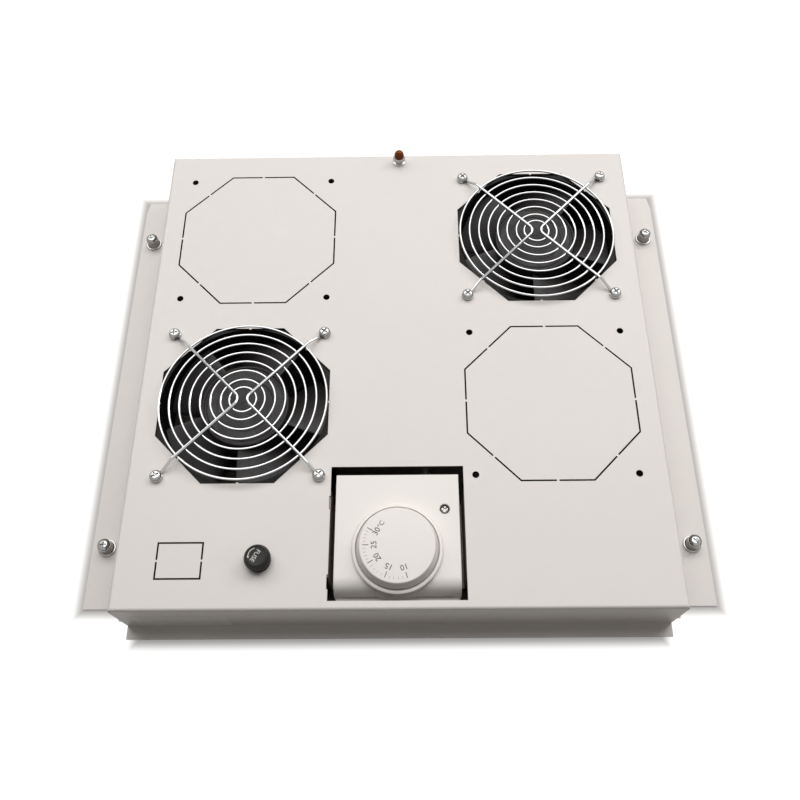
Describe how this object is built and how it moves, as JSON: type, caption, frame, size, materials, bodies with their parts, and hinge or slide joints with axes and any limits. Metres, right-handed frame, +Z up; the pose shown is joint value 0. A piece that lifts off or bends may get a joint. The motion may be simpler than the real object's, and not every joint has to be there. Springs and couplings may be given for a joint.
{
  "type": "rack fan tray",
  "caption": "Folded steel tray with guarded axial fans, spare knocked-out fan positions, a room thermostat, fuse holder, pilot lamp and sprung captive screws.",
  "frame": {"origin": "middle of the rim underside: the centre of the footprint, on the plane that the tray stands on", "axes": "+Z up through the deck, +Y towards the rear wall with the pilot lamp, +X to the right as seen from the front wall; the longest extent runs along X"},
  "size_m": [0.412, 0.367, 0.0578],
  "materials": {
    "bright_steel": "bright zinc plate",
    "grommet_rubber": "matt black rubber",
    "captive_steel": "bright nickel plate",
    "spring_steel": "spring steel wire",
    "bearing_bronze": "sintered bronze",
    "fan_plastic": "moulded, satin black",
    "fan_core": "stacked laminations with varnished windings",
    "fuse_plastic": "black phenolic moulding",
    "fuse_glass": "clear glass tube",
    "fuse_caps": "nickel-plated end caps",
    "guard_chrome": "nickel-chrome plated wire",
    "lamp_chrome": "bright chrome",
    "lamp_plastic": "dark moulded body",
    "lamp_amber": "glossy clear amber moulding",
    "clip_nylon": "natural nylon",
    "lead_sheath": "smooth dark grey sheath of a two-core lead",
    "terminal_plastic": "natural white polyamide",
    "terminal_brass": "nickel-plated brass screws",
    "thermostat_plastic": "fine-grained off-white moulding",
    "spindle_plastic": "natural nylon",
    "capsule_brass": "formed brass diaphragm capsule",
    "switch_plastic": "black moulding with plated tags",
    "tray_paint": "fine satin powder coat, warm light grey"
  },
  "bodies": {
    "tray_assembly": {"bracket_nuts": "bright_steel", "cable_grommet": "grommet_rubber", "captive_ferrules": "captive_steel", "captive_spring_front_left": "spring_steel", "captive_spring_front_right": "spring_steel", "captive_spring_rear_left": "spring_steel", "captive_spring_rear_right": "spring_steel", "earth_nut": "bright_steel", "earth_washer": "bright_steel", "fan_front_bearings": "bearing_bronze", "fan_front_frame": "fan_plastic", "fan_front_stator": "fan_core", "fan_rear_bearings": "bearing_bronze", "fan_rear_frame": "fan_plastic", "fan_rear_stator": "fan_core", "fuse_holder_body": "fuse_plastic", "fuse_holder_nut": "fuse_plastic", "guard_front": "guard_chrome", "guard_nuts": "bright_steel", "guard_rear": "guard_chrome", "guard_screws": "bright_steel", "lamp_bezel_nut": "lamp_chrome", "lamp_body": "lamp_plastic", "lamp_lens": "lamp_amber", "lead_clips": "clip_nylon", "lead_front_fan": "lead_sheath", "lead_fuse": "lead_sheath", "lead_lamp": "lead_sheath", "lead_rear_fan": "lead_sheath", "lead_thermostat": "lead_sheath", "terminal_block": "terminal_plastic", "terminal_block_nuts": "bright_steel", "terminal_screws": "terminal_brass", "thermostat_base": "thermostat_plastic", "thermostat_base_screws": "bright_steel", "thermostat_bracket": "bright_steel", "thermostat_capsule": "capsule_brass", "thermostat_cover": "thermostat_plastic", "thermostat_cover_screw": "bright_steel", "thermostat_switch": "switch_plastic", "tray": "tray_paint"},
    "fan_front_impeller": {"fan_front_rotor": "fan_plastic", "fan_front_shaft": "bright_steel"},
    "fan_rear_impeller": {"fan_rear_rotor": "fan_plastic", "fan_rear_shaft": "bright_steel"},
    "thermostat_knob": {"thermostat_dial": "thermostat_plastic", "thermostat_spindle": "spindle_plastic", "thermostat_cam": "spindle_plastic"},
    "fuse_drawer": {"fuse_carrier": "fuse_plastic", "fuse_link": "fuse_glass", "fuse_link_ends": "fuse_caps"},
    "fuse_knob": {"fuse_cap": "fuse_plastic"},
    "captive_seat_rear_left": {"captive_washer_rear_left": "captive_steel"},
    "captive_fastener_rear_left": {"captive_screw_rear_left": "captive_steel"},
    "captive_seat_rear_right": {"captive_washer_rear_right": "captive_steel"},
    "captive_fastener_rear_right": {"captive_screw_rear_right": "captive_steel"},
    "captive_seat_front_left": {"captive_washer_front_left": "captive_steel"},
    "captive_fastener_front_left": {"captive_screw_front_left": "captive_steel"},
    "captive_seat_front_right": {"captive_washer_front_right": "captive_steel"},
    "captive_fastener_front_right": {"captive_screw_front_right": "captive_steel"}
  },
  "joints": [
    {"name": "fan_front_spin", "type": "hinge", "parent": "tray_assembly", "child": "fan_front_impeller", "pos_m": [-0.103, -0.0375, 0.0255], "axis": [0, 0, 1], "continuous": true},
    {"name": "fan_rear_spin", "type": "hinge", "parent": "tray_assembly", "child": "fan_rear_impeller", "pos_m": [0.103, 0.0975, 0.0255], "axis": [0, 0, 1], "continuous": true},
    {"name": "thermostat_turn", "type": "hinge", "parent": "tray_assembly", "child": "thermostat_knob", "pos_m": [0, -0.1375, 0.05], "axis": [0, 0, 1], "range_deg": [-17, 120]},
    {"name": "fuse_draw", "type": "slide", "parent": "tray_assembly", "child": "fuse_drawer", "axis": [0, 0, 1], "range_m": [0, 0.035]},
    {"name": "fuse_twist", "type": "hinge", "parent": "fuse_drawer", "child": "fuse_knob", "pos_m": [-0.0855, -0.1445, 0.052], "axis": [0, 0, 1], "range_deg": [0, 90]},
    {"name": "captive_press_rear_left", "type": "slide", "parent": "tray_assembly", "child": "captive_seat_rear_left", "axis": [0, 0, -1], "range_m": [0, 0.004], "stiffness_N_per_m": 400, "springref_m": -0.002, "deforming": ["captive_spring_rear_left"]},
    {"name": "captive_turn_rear_left", "type": "hinge", "parent": "captive_seat_rear_left", "child": "captive_fastener_rear_left", "pos_m": [-0.196, 0.124, 0.009], "axis": [0, 0, 1], "continuous": true},
    {"name": "captive_press_rear_right", "type": "slide", "parent": "tray_assembly", "child": "captive_seat_rear_right", "axis": [0, 0, -1], "range_m": [0, 0.004], "stiffness_N_per_m": 400, "springref_m": -0.002, "deforming": ["captive_spring_rear_right"]},
    {"name": "captive_turn_rear_right", "type": "hinge", "parent": "captive_seat_rear_right", "child": "captive_fastener_rear_right", "pos_m": [0.196, 0.124, 0.009], "axis": [0, 0, 1], "continuous": true},
    {"name": "captive_press_front_left", "type": "slide", "parent": "tray_assembly", "child": "captive_seat_front_left", "axis": [0, 0, -1], "range_m": [0, 0.004], "stiffness_N_per_m": 400, "springref_m": -0.002, "deforming": ["captive_spring_front_left"]},
    {"name": "captive_turn_front_left", "type": "hinge", "parent": "captive_seat_front_left", "child": "captive_fastener_front_left", "pos_m": [-0.196, -0.124, 0.009], "axis": [0, 0, 1], "continuous": true},
    {"name": "captive_press_front_right", "type": "slide", "parent": "tray_assembly", "child": "captive_seat_front_right", "axis": [0, 0, -1], "range_m": [0, 0.004], "stiffness_N_per_m": 400, "springref_m": -0.002, "deforming": ["captive_spring_front_right"]},
    {"name": "captive_turn_front_right", "type": "hinge", "parent": "captive_seat_front_right", "child": "captive_fastener_front_right", "pos_m": [0.196, -0.124, 0.009], "axis": [0, 0, 1], "continuous": true}
  ]
}
